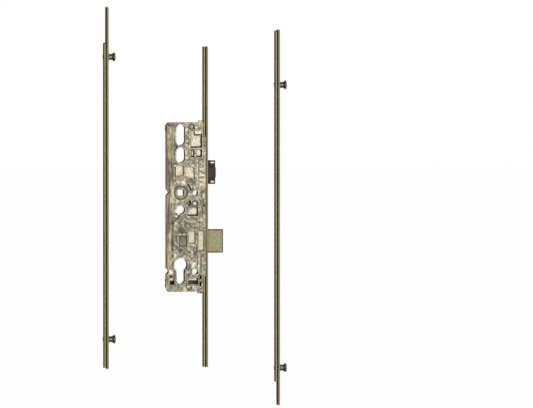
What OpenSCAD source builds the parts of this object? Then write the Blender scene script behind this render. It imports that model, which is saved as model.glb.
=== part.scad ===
// Multipoint door lock, laid out in its three sections: top, centre with the lock case, and bottom.
// X points the way the bolts are thrown, Z runs up the door edge and Y goes through the door.
// The origin is on the axis of the handle spindle, half way through the lock case.

/* [Strips] */
// Width of the three faceplates across the door edge
faceplate_w = 16; // [15.6:0.2:18]
// Thickness of a faceplate
faceplate_t = 3; // [2.5:0.1:3.2]
// Width of the sliding rails behind the faceplates
rail_w = 10.4; // [9.6:0.1:10.6]
// Thickness of a sliding rail
rail_t = 3; // [2.5:0.1:3.2]
// Radius of the rolled long edges of the strips
strip_edge_r = 1.1; // [0.6:0.1:1.2]
// Radius of the screw holes in the faceplates
plate_screw_r = 2.25; // [1.8:0.05:2.4]
// Radius of the countersinks at the faceplate's front
plate_screw_head_r = 4.4; // [3.6:0.1:4.6]

/* [Layout of the sections] */
// Spindle axis to the front of the centre faceplate
backset = 35; // [35:0.5:40]
// Front of the centre faceplate to the front of the top section's, to the left
top_section_dx = 127.5; // [80:0.5:160]
// Front of the centre faceplate to the front of the bottom section's, to the right
bottom_section_dx = 92.5; // [80:0.5:160]
// Top end of the top faceplate
top_plate_z1 = 237.5; // [228:0.5:260]
// Bottom end of the top section
top_plate_z0 = -224; // [-240:0.5:-222]
// Top end of the rail of the top section
top_rail_z1 = 193; // [184:0.5:200]
// Top end of the centre section
centre_z1 = 186.5; // [184:0.5:200]
// Bottom end of the centre section
centre_z0 = -222.5; // [-240:0.5:-218]
// Top end of the bottom section
bottom_plate_z1 = 207.5; // [204:0.5:220]
// Bottom end of the bottom faceplate
bottom_plate_z0 = -272; // [-290:0.5:-271]
// Bottom end of the rail of the bottom section
bottom_rail_z0 = -243.5; // [-244.5:0.5:-234]

/* [Mushroom bolts] */
// Height of the upper mushroom of the top section
top_mushroom_z1 = 174; // [120:0.5:178]
// Height of the lower mushroom of the top section
top_mushroom_z0 = -186.5; // [-187:0.5:-120]
// Height of the upper mushroom of the bottom section
bottom_mushroom_z1 = 137; // [100:0.5:150]
// Height of the lower mushroom of the bottom section
bottom_mushroom_z0 = -224.5; // [-226:0.5:-150]
// Radius of the mushroom's head
mushroom_head_r = 5.75; // [5.2:0.05:6.2]
// Radius of the mushroom's stem
mushroom_stem_r = 3.85; // [3.6:0.05:4.2]
// Radius of the shank that is riveted through the rail
mushroom_shank_r = 3; // [2.6:0.05:3.2]
// How far the head stands out in front of the faceplate
mushroom_reach = 9.4; // [8.5:0.1:11]
// Offset of the head from its rivet, which sets the closing pressure
mushroom_eccentricity = 0.6; // [0.2:0.1:1]
// Radius of the domed washer under the mushroom
washer_r = 6.85; // [6:0.05:7.2]

/* [Lock case] */
// Rear edge of the case, left of the spindle
case_back_x = 18.3; // [18:0.1:20]
// Top end of the case
case_top_z = 89.7; // [89.7:0.1:92]
// Bottom end of the case
case_bottom_z = -126.3; // [-128:0.1:-126.3]
// Half of the thickness of the case over its raised castings
case_half_t = 7.8; // [7.6:0.05:7.9]
// Thickness of the side walls of the case
case_wall = 1.7; // [1.5:0.05:1.8]
// Height of the raised castings over the side wall
relief_h = 0.7; // [0.5:0.05:0.9]
// Thickness of the case's end walls
rim_wall = 2; // [1.6:0.1:2.2]
// Height at which the upper rail enters the case
rail_entry_z = 71.4; // [70.8:0.1:74]
// Height at which the lower rail leaves the case
rail_exit_z = -106.3; // [-108:0.1:-104]

/* [Spindle and cylinder] */
// Side of the square hole for the handle spindle
spindle_square = 8; // [7:0.5:9]
// Radius of the follower's round face
follower_face_r = 8.2; // [7.8:0.1:8.6]
// Spindle axis to the axis of the key cylinder
cylinder_drop = 92; // [91:0.5:93]
// Radius of the round part of the cylinder's hole
cylinder_r = 8.5; // [8.5:0.05:8.7]
// Width of the stem of the cylinder's hole
cylinder_stem_w = 10; // [10:0.1:10.6]
// Full height of the cylinder's hole
cylinder_h = 33; // [32.5:0.1:34]
// Radius of the screw that holds the cylinder
cylinder_screw_r = 2.75; // [2.5:0.05:3]

/* [Drive] */
// Travel of the rails from unlocked to locked
rail_travel = 16; // [12:0.5:16]
// Size of the teeth of the follower and the rack, as pitch radius over half the tooth count
tooth_module = 1.6; // [1.6:0.05:1.65]
// Pitch line of the rack behind the front of the centre faceplate
rack_setback = 9.4; // [9.2:0.1:9.6]

/* [Latch and deadbolt] */
// Travel of the latch
latch_throw = 9.5; // [8:0.1:9.6]
// Travel of the deadbolt
bolt_throw = 19.5; // [16:0.1:19.6]
// Bottom of the latch
latch_z0 = 11.3; // [11.3:0.1:11.8]
// Height of the latch
latch_h = 30.1; // [29:0.1:30.4]
// Bottom of the deadbolt
bolt_z0 = -76.6; // [-77:0.1:-76.2]
// Height of the deadbolt
bolt_h = 29.9; // [29.4:0.1:30]

/* [Fits] */
// Radial clearance of a pin that turns in its hole
running_gap = 0.05; // [0.03:0.01:0.08]
// Clearance between sliding flat faces
slide_gap = 0.1; // [0.05:0.05:0.2]

/* [Hidden] */
$fn = 48;
eps = 0.01;

bronze = [0.5, 0.46, 0.3];
zinc = [0.72, 0.68, 0.58];
dark_steel = [0.27, 0.26, 0.24];
bright_steel = [0.78, 0.77, 0.74];
dark_plastic = [0.2, 0.14, 0.1];
brass = [0.85, 0.78, 0.5];

plate_back_x = backset - faceplate_t;
rail_front_x = plate_back_x - slide_gap;
rail_back_x = rail_front_x - rail_t;
top_front_x = backset - top_section_dx;
bottom_front_x = backset + bottom_section_dx;

plate_y = case_half_t - relief_h;
inner_y = plate_y - case_wall;
layer_split_y = 2.8;
front_y0 = -inner_y + 2 * slide_gap;
front_y1 = layer_split_y - slide_gap;
back_y0 = layer_split_y + slide_gap;
back_y1 = inner_y - 2 * slide_gap;

case_step_x = rail_back_x - 2 * slide_gap;
case_inner_x = -case_back_x + rim_wall;
cylinder_z = -cylinder_drop;
cylinder_bottom_z = cylinder_z + cylinder_r - cylinder_h;
cylinder_screw_z = cylinder_z - 20;
cylinder_screw_head_r = cylinder_screw_r + 2.2;

// Teeth on a full turn of the follower, as many as bring its pitch circle to the rack
follower_teeth = round(2 * (backset - rack_setback) / tooth_module);
pitch_r = tooth_module * follower_teeth / 2;
rack_back_x = pitch_r + 1.35 * tooth_module;
slide_x1 = rail_front_x - 0.2;

upper_rail_in = 11.4;
upper_rail_z0 = rail_entry_z - upper_rail_in;
lower_rail_z1 = rail_exit_z + 27.6;
rail_lap = 11;
slide_z1 = upper_rail_z0 + rail_lap - 1;
slide_z0 = lower_rail_z1 - rail_lap;

centre_screw_z = [centre_z1 - 26.5, centre_z0 + 14.5];
top_screw_z = [top_plate_z1 - 20, 0, top_plate_z0 + 10];
bottom_screw_z = [bottom_plate_z1 - 12.5, -40, bottom_plate_z0 + 9];
case_screw_z = [2, -36];
case_screw_r = 2;
case_screw_head_r = 3.9;
case_screw_l = 11;

handle_slots = [[60.7, 87.5], [38.7, 58.3]];
handle_slot_r = 5.6;
handle_hole_z = -21.6;
handle_hole_r = 5.35;
fixing_hole_x = backset - 16.3;
fixing_holes = [[fixing_hole_x, 0, 3.3], [fixing_hole_x, cylinder_z - 9, 3.4]];
collar_wall = 1.2;
case_rivet_at = [[13.3, 84.4], [9.6, -120.3]];
blind_rivet_at = [-12, -76.6];
slot_post_x = backset - 9.3;
slot_post_z = [case_bottom_z + 14.5, case_bottom_z + 5.5];
slot_post_r = 1.3;
rivet_shank_r = 1.5;
rivet_head_r = 2.3;
lever_pivot_at = [backset - 17.3, -13.5];
lever_pivot_r = 1.8;
notch_at = [-19, -100];
notch_r = 3.4;

stump_r = 2;
stump_z = lever_pivot_at[1] - 30;
stump_x = lever_pivot_at[0] + bolt_throw / 2;
lever_rest_angle = atan(bolt_throw / 2 / (lever_pivot_at[1] - stump_z));
lever_far = (lever_pivot_at[1] - stump_z) / cos(lever_rest_angle);
lever_near = lever_pivot_at[1] - stump_z;

// Extrudes an outline drawn in X and Z from y0 to y1
module slab(y0, y1) {
    translate([0, y1, 0]) rotate([90, 0, 0]) linear_extrude(y1 - y0) children();
}

// A round bar along Y
module bar_y(x, z, r, y0, y1) {
    translate([x, y1, z]) rotate([90, 0, 0]) cylinder(r = r, h = y1 - y0);
}

// A round bar along X
module bar_x(y, z, r, x0, x1) {
    translate([x0, y, z]) rotate([0, 90, 0]) cylinder(r = r, h = x1 - x0);
}

// A rectangle with round corners, given by its lowest and highest corner
module round_rect(low, high, r) {
    translate([low[0] + r, low[1]]) square([high[0] - low[0] - 2 * r, high[1] - low[1]]);
    translate([low[0], low[1] + r]) square([high[0] - low[0], high[1] - low[1] - 2 * r]);
    for (x = [low[0] + r, high[0] - r], y = [low[1] + r, high[1] - r]) translate([x, y]) circle(r);
}

// An upright slot with round ends
module slot_2d(x, z0, z1, r) {
    translate([x - r, z0 + r]) square([2 * r, z1 - z0 - 2 * r]);
    for (z = [z0 + r, z1 - r]) translate([x, z]) circle(r);
}

// A bar with round ends from a to b
module link_2d(a, b, r) {
    across = atan2(b[1] - a[1], b[0] - a[0]) + 90;
    polygon([for (end = [0, 1], k = [0:6])
        let (t = across + 180 * end + 30 * k) (end == 0 ? a : b) + r * [cos(t), sin(t)]]);
}

// The part of a ring between two angles, drawn with straight outer facets
module ring_part_2d(r0, r1, a0, a1) {
    steps = ceil((a1 - a0) / 6);
    angles = [for (i = [0:steps]) a0 + (a1 - a0) * i / steps];
    polygon(concat(
        [for (a = angles) r1 * [cos(a), sin(a)]],
        [for (i = [steps:-1:0]) r0 * [cos(angles[i]), sin(angles[i])]]));
}

// A strip with rolled edges: its front face at front_x, its ends at z0 and z1
module strip(front_x, z0, z1, w, t) {
    translate([0, 0, z0]) linear_extrude(z1 - z0) round_rect([front_x - t, -w / 2], [front_x, w / 2], strip_edge_r);
}

// A hole along X for a countersunk screw in a faceplate
module countersunk_hole(front_x, z, r, head_r) {
    bar_x(0, z, r, front_x - faceplate_t - 1, front_x + 1);
    translate([front_x - (head_r - r), 0, z]) rotate([0, 90, 0])
        cylinder(r1 = r, r2 = head_r, h = head_r - r);
}

// A slot through a rail or a faceplate, from z0 to z1, for a bolt of radius r
module strip_slot(front_x, t, z0, z1, r) {
    translate([front_x - t - 1, 0, 0]) rotate([90, 0, 90]) linear_extrude(t + 2) slot_2d(0, z0 - r, z1 + r, r);
}

// The room that a faceplate leaves for a mushroom's shank over the travel
module mushroom_slot(front_x, z) {
    strip_slot(front_x, faceplate_t, z - rail_travel, z, mushroom_shank_r + 2 * slide_gap);
}

// The slot in a rail for a fixed screw at z
module screw_slot(front_x, z, r) {
    strip_slot(front_x, rail_t, z, z + rail_travel, r + 0.35);
}

module centre_faceplate() {
    color(bronze) difference() {
        strip(backset, centre_z0, centre_z1, faceplate_w, faceplate_t);
        for (z = centre_screw_z) countersunk_hole(backset, z, plate_screw_r, plate_screw_head_r);
        for (z = case_screw_z) countersunk_hole(backset, z, case_screw_r + slide_gap, case_screw_head_r + slide_gap);
        countersunk_hole(backset, cylinder_screw_z, cylinder_screw_r, cylinder_screw_head_r);
        bolt_opening(latch_z0, latch_h);
        bolt_opening(bolt_z0, bolt_h);
    }
}

// The opening in the faceplate that the latch or the deadbolt slides through
module bolt_opening(z0, h) {
    gap = 2 * slide_gap;
    translate([plate_back_x - 1, front_y0 - gap, z0 - gap])
        cube([faceplate_t + 2, front_y1 - front_y0 + 2 * gap, h + 2 * gap]);
}

module top_faceplate() {
    color(bronze) difference() {
        strip(top_front_x, top_plate_z0, top_plate_z1, faceplate_w, faceplate_t);
        for (z = top_screw_z) countersunk_hole(top_front_x, z, plate_screw_r, plate_screw_head_r);
        for (z = [top_mushroom_z1, top_mushroom_z0]) mushroom_slot(top_front_x, z);
    }
}

module bottom_faceplate() {
    color(bronze) difference() {
        strip(bottom_front_x, bottom_plate_z0, bottom_plate_z1, faceplate_w, faceplate_t);
        for (z = bottom_screw_z) countersunk_hole(bottom_front_x, z, plate_screw_r, plate_screw_head_r);
        for (z = [bottom_mushroom_z1, bottom_mushroom_z0]) mushroom_slot(bottom_front_x, z);
    }
}

// A rail that carries mushrooms, behind a faceplate whose front is at front_x
module mushroom_rail(front_x, z0, z1, mushrooms, screws) {
    rail_x = front_x - faceplate_t - slide_gap;
    difference() {
        strip(rail_x, z0, z1, rail_w, rail_t);
        for (z = mushrooms) bar_x(0, z, mushroom_shank_r + running_gap, rail_x - rail_t - 1, rail_x + 1);
        for (z = screws) screw_slot(rail_x, z, plate_screw_r);
        translate([rail_x - rail_t - 1, -rail_w, z1]) rotate([0, 45, 0]) cube([3, 2 * rail_w, 3]);
        translate([rail_x - rail_t - 1, -rail_w, z0]) rotate([0, 45, 0]) cube([3, 2 * rail_w, 3]);
    }
}

module top_rail() {
    color(bronze) mushroom_rail(top_front_x, top_plate_z0, top_rail_z1,
        [top_mushroom_z1, top_mushroom_z0], [top_screw_z[1], top_screw_z[2]]);
}

module bottom_rail() {
    color(bronze) mushroom_rail(bottom_front_x, bottom_rail_z0, bottom_plate_z1,
        [bottom_mushroom_z1, bottom_mushroom_z0], [bottom_screw_z[0] - rail_travel, bottom_screw_z[1]]);
}

// The hook tab of the drive slide, with the clearance gap all round
module slide_tab(z, gap) {
    translate([rail_back_x + 0.5 - gap, -1 - gap, z - 2 - gap])
        cube([slide_x1 - rail_back_x - 0.5 + 2 * gap, back_y0 + 1.5 + gap, 4 + 2 * gap]);
}

upper_tab_z = upper_rail_z0 + rail_lap / 2;
lower_tab_z = lower_rail_z1 - rail_lap / 2;

// The room that the drive slide takes beside the end of a rail
module rail_lap_cut(z0, z1) {
    translate([rail_back_x - 1, layer_split_y, z0]) cube([rail_t + 3, rail_w, z1 - z0]);
}

module upper_rail() {
    color(bronze) difference() {
        strip(rail_front_x, upper_rail_z0, centre_z1, rail_w, rail_t);
        screw_slot(rail_front_x, centre_screw_z[0], plate_screw_r);
        rail_lap_cut(upper_rail_z0 - 1, slide_z1 + 0.5);
        slide_tab(upper_tab_z, running_gap);
    }
}

module lower_rail() {
    color(bronze) difference() {
        strip(rail_front_x, centre_z0, lower_rail_z1, rail_w, rail_t);
        screw_slot(rail_front_x, centre_screw_z[1], plate_screw_r);
        screw_slot(rail_front_x, cylinder_screw_z, cylinder_screw_r);
        rail_lap_cut(slide_z0 - 0.5, lower_rail_z1 + 1);
        slide_tab(lower_tab_z, running_gap);
    }
}

// The flank of a tooth, as an involute from the base circle, at radius r
function involute_angle(base_r, r) = sqrt(pow(r / base_r, 2) - 1) * 180 / PI - acos(base_r / r);

pressure_angle = 20;
tooth_backlash = 0.12;
tooth_tip_r = pitch_r + tooth_module;
tooth_root_r = pitch_r - 1.25 * tooth_module;
tooth_base_r = pitch_r * cos(pressure_angle);
tooth_half_angle = 90 / follower_teeth - tooth_backlash / 2 / pitch_r * 180 / PI
    + involute_angle(tooth_base_r, pitch_r);

// Half width of a tooth, as an angle, at radius r
function tooth_half(r) = tooth_half_angle - involute_angle(tooth_base_r, max(r, tooth_base_r));

// One tooth of the follower, pointing along the angle a
module follower_tooth_2d(a) {
    radii = [tooth_root_r - 0.2, tooth_base_r, (tooth_base_r + pitch_r) / 2, pitch_r,
        (pitch_r + tooth_tip_r) / 2, tooth_tip_r];
    polygon(concat(
        [for (r = radii) r * [cos(a - tooth_half(r)), sin(a - tooth_half(r))]],
        [for (i = [len(radii) - 1:-1:0]) radii[i] * [cos(a + tooth_half(radii[i])), sin(a + tooth_half(radii[i]))]]));
}

sector_inner_r = fixing_holes[0][0] + fixing_holes[0][2] + 0.3;
spring_arm_r = -case_inner_x - 3.9;
spring_x = -spring_arm_r + 1.5;
spring_coil_r = 1.45;
spring_wire_r = 0.3;
sector_a0 = -9;
sector_a1 = 61;
latch_arm_r = 15;

module follower() {
    tooth_step = 360 / follower_teeth;
    color(zinc) difference() {
        union() {
            bar_y(0, 0, follower_face_r, -plate_y - 0.2, plate_y);
            bar_y(0, 0, follower_face_r + 0.8, front_y0, back_y1);
            slab(front_y0, front_y1) translate([-2.5, 0]) square([5, latch_arm_r]);
            slab(front_y0, front_y0 + 4) translate([-spring_arm_r, -2.5]) square([spring_arm_r, 5]);
            slab(back_y0, back_y1) {
                ring_part_2d(sector_inner_r, tooth_root_r, sector_a0, sector_a1);
                ring_part_2d(follower_face_r, sector_inner_r + 0.2, 50, sector_a1);
                for (i = [0:5]) follower_tooth_2d((i - 0.5) * tooth_step);
            }
        }
        slab(-case_half_t - 1, case_half_t + 1)
            translate([-spindle_square / 2, -spindle_square / 2]) square(spindle_square);
        bar_y(spring_x, 0, 0.8, front_y0 - 1, front_y0 + 5);
    }
}

// The rack of the drive slide: straight teeth that mesh with the follower at rest
module rack_2d() {
    pitch = PI * tooth_module;
    gap_half = pitch / 4 - tooth_backlash / 2;
    slope = tan(pressure_angle);
    tip_x = pitch_r - 0.9 * tooth_module;
    for (i = [-1:4])
        translate([0, i * pitch]) polygon([
            [rack_back_x + 0.2, -gap_half - (rack_back_x + 0.2 - pitch_r) * slope],
            [rack_back_x + 0.2, gap_half + (rack_back_x + 0.2 - pitch_r) * slope],
            [tip_x, gap_half - (pitch_r - tip_x) * slope],
            [tip_x, -gap_half + (pitch_r - tip_x) * slope]]);
}

module drive_slide() {
    color(bright_steel) {
        slab(back_y0, back_y1) {
            translate([rack_back_x, slide_z0]) square([slide_x1 - rack_back_x, slide_z1 - slide_z0]);
            rack_2d();
        }
        slide_tab(upper_tab_z, 0);
        slide_tab(lower_tab_z, 0);
    }
}

// Outline of the lock case seen from the side
module case_outline() {
    difference() {
        polygon([
            [-case_back_x + 3.2, case_top_z], [case_step_x, case_top_z], [case_step_x, rail_entry_z],
            [plate_back_x, rail_entry_z], [plate_back_x, rail_exit_z], [case_step_x, rail_exit_z],
            [case_step_x, case_bottom_z], [-case_back_x + 2.6, case_bottom_z],
            [-case_back_x - 0.4, case_bottom_z + 5.6], [-case_back_x, case_bottom_z + 18],
            [-case_back_x, -3.8], [-case_back_x + 3.2, 0.7], [-case_back_x, 5.2],
            [-case_back_x, case_top_z - 3]]);
        translate(notch_at) circle(notch_r);
    }
}

// Outline of the hollow inside the lock case
module case_hollow() {
    difference() {
        polygon([
            [case_inner_x + 2, case_top_z - rim_wall], [case_step_x - rim_wall, case_top_z - rim_wall],
            [case_step_x - rim_wall, rail_entry_z], [plate_back_x + 1, rail_entry_z],
            [plate_back_x + 1, rail_exit_z], [case_step_x - rim_wall, rail_exit_z],
            [case_step_x - rim_wall, case_bottom_z + rim_wall], [case_inner_x + 1.4, case_bottom_z + rim_wall],
            [case_inner_x, case_bottom_z + 6.6], [case_inner_x, -5.3], [case_inner_x + 3.2, 0.7],
            [case_inner_x, 6.7], [case_inner_x, case_top_z - 4]]);
        translate(notch_at) circle(notch_r + 1.8);
    }
}

// The holes that go right through the case for the handles, the cylinder and the fixings
module through_holes_2d(extra = 0) {
    for (s = handle_slots) slot_2d(0, s[0] - extra, s[1] + extra, handle_slot_r + extra);
    translate([0, handle_hole_z]) circle(handle_hole_r + extra);
    for (h = fixing_holes) translate([h[0], h[1]]) circle(h[2] + extra);
}

module cylinder_hole_2d(extra = 0) {
    translate([0, cylinder_z]) circle(cylinder_r + extra);
    slot_2d(0, cylinder_bottom_z - extra, cylinder_z, cylinder_stem_w / 2 + extra);
}

// The parts of the casting that stand up from the case's side wall
module raised_2d() {
    difference() {
        union() {
            // rounded border along the rear edge
            translate([-case_back_x + 0.9, case_bottom_z + 22]) square([7.6, 64]);
            translate([-case_back_x + 0.9, 8]) square([7.6, case_top_z - 12.7]);
            // frames round the handle slots
            slot_2d(0, handle_slots[0][0] - 1.6, handle_slots[0][1] + 1.2, handle_slot_r + 1.7);
            slot_2d(0, handle_slots[1][0] - 1.8, handle_slots[1][1] + 1.4, handle_slot_r + 1.7);
            // the top right frame
            round_rect([10.6, 43.8], [backset - 6.8, 81.6], 1.6);
            // dome over the follower
            ring_part_2d(11.2, 20, -12, 158);
            ring_part_2d(follower_face_r + 0.7, 12.6, 150, 380);
            // frame of the two windows over the follower
            round_rect([-9.8, latch_z0 + 7.2], [backset - 15.1, latch_z0 + 25.3], 1.2);
            // panel beside the latch
            round_rect([backset - 11.4, latch_z0 - 2.3], [backset - 4.1, latch_z0 + 30.2], 1);
            // frame of the window under the follower
            polygon([[6.2, -31.2], [6.2, -21.8], [13.8, -16.5], [backset - 13.8, -8],
                [backset - 10.6, -10.5], [backset - 10.4, -31.2]]);
            translate([0, handle_hole_z]) circle(handle_hole_r + 2.2);
            // curved rib that runs down to the deadbolt, and the beads beside it
            link_2d([backset - 11.8, -14], [backset - 8.8, -24], 1.3);
            link_2d([backset - 8.8, -24], [backset - 8.8, bolt_z0 + 31.6], 1.3);
            for (z = [-24, -33, -42]) round_rect([backset - 6.5, z], [backset - 4.2, z + 6], 0.5);
            // frame of the windows over the deadbolt
            round_rect([8.4, bolt_z0 + 9.6], [backset - 14.6, bolt_z0 + 32], 1.6);
            round_rect([backset - 14, bolt_z0 + 1], [backset - 3.8, bolt_z0 + 30.6], 1);
            round_rect([-4.6, bolt_z0 + 5.6], [9.6, bolt_z0 + 24.6], 1.2);
            // diagonal and cross ribs
            link_2d([-15.4, -68.6], [-5.6, -76.6], 1.2);
            link_2d([-16, -84], [-10, -76], 1.2);
            link_2d([-5, -77], [9, -72], 1.4);
            translate(blind_rivet_at) circle(3.4);
            // hook round the lower screw boss
            translate([-3.2, -38.4]) ring_part_2d(1.8, 4.2, -30, 200);
            link_2d([-7, -38], [-9.2, -48], 1.2);
            link_2d([4, -34], [14, -38], 1.5);
            // frame of the cylinder's hole
            translate([0, cylinder_z]) circle(cylinder_r + 2);
            round_rect([-7, cylinder_bottom_z - 2], [7, cylinder_z], 1.4);
            // lower foot of the case
            round_rect([-14.6, case_bottom_z + 1.3], [backset - 11, case_bottom_z + 7.5], 1.4);
            round_rect([7.6, case_bottom_z + 7.9], [backset - 11.4, case_bottom_z + 19.5], 1);
            translate([fixing_holes[0][0], fixing_holes[0][1]]) circle(fixing_holes[0][2] + 1.4);
            translate([fixing_holes[1][0], fixing_holes[1][1]]) circle(5.2);
            round_rect([-15.2, cylinder_z - 12.2], [-10.4, cylinder_z - 6.2], 0.7);
            // channel beside the lower rail
            round_rect([backset - 13.2, cylinder_z - 12.8], [backset - 6.6, cylinder_z + 13.2], 0.8);
        }
        difference() {
            translate([-40, -150]) square([80, 260]);
            case_outline();
        }
    }
}

// The shelf in the top right frame, which lies lower than the frame
module shelf_2d() {
    translate([18, 73.4]) square([backset - 7.8 - 18, 6.2]);
}

// Shallow pockets in the casting, with a floor
module pockets_2d() {
    // panel in the top right frame
    difference() {
        round_rect([12.5, 57.6], [backset - 7.8, 79.6], 0.6);
        translate([18, 73.4]) square([backset - 17, 8]);
    }
    // hooked groove and the small panel beside it
    difference() {
        round_rect([12.3, 45.6], [17.4, 55.7], 0.4);
        translate([13.8, 47.2]) square([5, 6.9]);
    }
    round_rect([backset - 15.4, 45.6], [backset - 7.8, 56], 0.4);
    // ribbed channel beside the latch
    round_rect([backset - 14.4, latch_z0 - 1.9], [backset - 12.1, latch_z0 + 26.3], 0.6);
    // wedge groove beside the follower
    polygon([[7.4, 11.7], [9.4, 12.2], [14.6, 3.2], [12.6, 2.8]]);
    // crescent and window under the follower
    translate([8.2, -12.6]) ring_part_2d(2.6, 5.2, -70, 50);
    polygon([[8.2, -23.2], [14.8, -18.6], [backset - 13, -17.8], [backset - 13, -29.4], [8.2, -29.4]]);
    // recess over the deadbolt's tail
    round_rect([-2.6, bolt_z0 + 7.6], [8.2, bolt_z0 + 22.6], 1);
    // patches beside the round hole
    polygon([[-8.4, -27.6], [-1, -28.4], [-2.4, -32.8], [-8.4, -32.8]]);
    // groove beside the cylinder
    translate([0, cylinder_z]) ring_part_2d(11.4, 13.8, 140, 184);
    // channel beside the lower rail
    round_rect([backset - 11.2, cylinder_z - 11.6], [backset - 8.4, cylinder_z + 12], 0.5);
    // bars over the cylinder screw's windows
    round_rect([9, case_bottom_z + 9.3], [backset - 12.6, case_bottom_z + 18.1], 0.5);
    round_rect([-14.6, case_bottom_z + 9.1], [-8.2, case_bottom_z + 17.7], 0.5);
}

// Windows that go through the side wall and show the pieces behind it
module windows_2d() {
    polygon([[-8.2, 33], [-4.1, 35.2], [3.7, 35], [3.7, 22.2], [-7.8, 20.6]]);
    polygon([[6, 33.1], [backset - 17.8, 33.1], [backset - 16.8, 17.9], [backset - 19.6, 17.9], [6, 21.3]]);
    round_rect([10.2, bolt_z0 + 11.4], [backset - 16.2, bolt_z0 + 28], 0.6);
    round_rect([backset - 12.4, bolt_z0 + 2.8], [backset - 4.8, bolt_z0 + 28.8], 0.6);
    round_rect([9.6, case_bottom_z + 9.7], [backset - 13.2, case_bottom_z + 14.7], 0.3);
    round_rect([-14, case_bottom_z + 9.5], [-8.6, case_bottom_z + 14.5], 0.3);
    round_rect([-14.6, case_bottom_z + 18.5], [-10.6, case_bottom_z + 20.9], 0.3);
    round_rect([backset - 10.9, case_bottom_z + 2.9], [backset - 8.5, case_bottom_z + 20.5], 0.6);
}

module case_front() {
    pocket_floor = 0.8;
    color(zinc) difference() {
        union() {
            difference() {
                union() {
                    slab(-plate_y, inner_y) case_outline();
                    slab(-case_half_t, -plate_y + 0.1) raised_2d();
                    // end lugs
                    translate([case_step_x - 5.4, -3, case_top_z - 1]) cube([5, 6, 3.8]);
                    translate([case_step_x - 6.4, -3, case_bottom_z - 2.6]) cube([5.4, 6, 3.6]);
                    // small catches along the rear edge
                    translate([-case_back_x - 0.9, -4, 79.4]) cube([2, 8, 6.6]);
                    translate([-case_back_x - 0.9, -4, -119.6]) cube([2, 8, 4]);
                    translate([-case_back_x - 0.9, -4, -113.6]) cube([2, 8, 3.6]);
                }
                slab(-inner_y, inner_y + 1) case_hollow();
            }
            // collars of the holes that go right through
            slab(-inner_y - eps, inner_y) intersection() {
                case_outline();
                union() {
                    slot_2d(0, handle_slots[1][0] - collar_wall, handle_slots[0][1] + collar_wall,
                        handle_slot_r + collar_wall);
                    translate([0, handle_hole_z]) circle(handle_hole_r + collar_wall);
                    translate([fixing_holes[1][0], fixing_holes[1][1]]) circle(fixing_holes[1][2] + collar_wall);
                    round_rect([-cylinder_stem_w / 2 - 1.6, cylinder_bottom_z - 2],
                        [cylinder_stem_w / 2 + 1.6, cylinder_z - cylinder_r - 1], 0.8);
                }
            }
            slab(-inner_y - eps, front_y1) translate([fixing_holes[0][0], 0])
                circle(fixing_holes[0][2] + collar_wall);
            // bosses of the faceplate's screws
            for (z = case_screw_z) slab(-2.6, inner_y - 2.8 + eps) translate([backset - 10.4, z - 3.4])
                square([10.4 - faceplate_t, 6.8]);
            for (z = case_screw_z) slab(-inner_y - eps, -2.6 + eps) translate([backset - 4.6, z - 3.4])
                square([4.6 - faceplate_t, 6.8]);
            // bosses of the rivets
            for (p = case_rivet_at) bar_y(p[0], p[1], rivet_shank_r + 1.6, -inner_y - eps, inner_y);
            bar_y(lever_pivot_at[0], lever_pivot_at[1], lever_pivot_r + 1.6, -plate_y, front_y0 - slide_gap);
            // post of the follower's spring
            bar_y(spring_x, -33.6, 1.3, -inner_y - eps, 0.4);
            // posts in the slot beside the lower rail
            for (z = slot_post_z) bar_y(slot_post_x, z, slot_post_r, -plate_y, -inner_y + 2);
        }
        slab(-case_half_t - 1, inner_y + 1) through_holes_2d();
        slab(-case_half_t - 1, inner_y + 1) cylinder_hole_2d();
        bar_y(0, 0, follower_face_r + running_gap, -case_half_t - 1, 0);
        slab(-case_half_t - 1, -inner_y - pocket_floor) pockets_2d();
        slab(-case_half_t - 1, -plate_y) shelf_2d();
        difference() {
            slab(-case_half_t - 1, -inner_y + 0.1) windows_2d();
            for (z = slot_post_z) bar_y(slot_post_x, z, slot_post_r, -plate_y, -inner_y + 2);
        }
        for (p = case_rivet_at) bar_y(p[0], p[1], rivet_head_r + 0.2, -case_half_t - 1, -plate_y);
        bar_y(lever_pivot_at[0], lever_pivot_at[1], lever_pivot_r + 0.8, -case_half_t - 1, -plate_y);
        for (p = case_rivet_at) bar_y(p[0], p[1], rivet_shank_r + running_gap, -case_half_t - 1, inner_y + 1);
        bar_y(blind_rivet_at[0], blind_rivet_at[1], rivet_shank_r + running_gap, -case_half_t - 1, -inner_y + 1);
        bar_y(lever_pivot_at[0], lever_pivot_at[1], lever_pivot_r + running_gap, -case_half_t - 1, 0);
        for (z = case_screw_z) bar_x(0, z, case_screw_r + running_gap, plate_back_x - case_screw_l, plate_back_x + 1);
        bar_x(0, cylinder_screw_z, cylinder_screw_r + 0.2, 0, plate_back_x + 1);
    }
}

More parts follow.
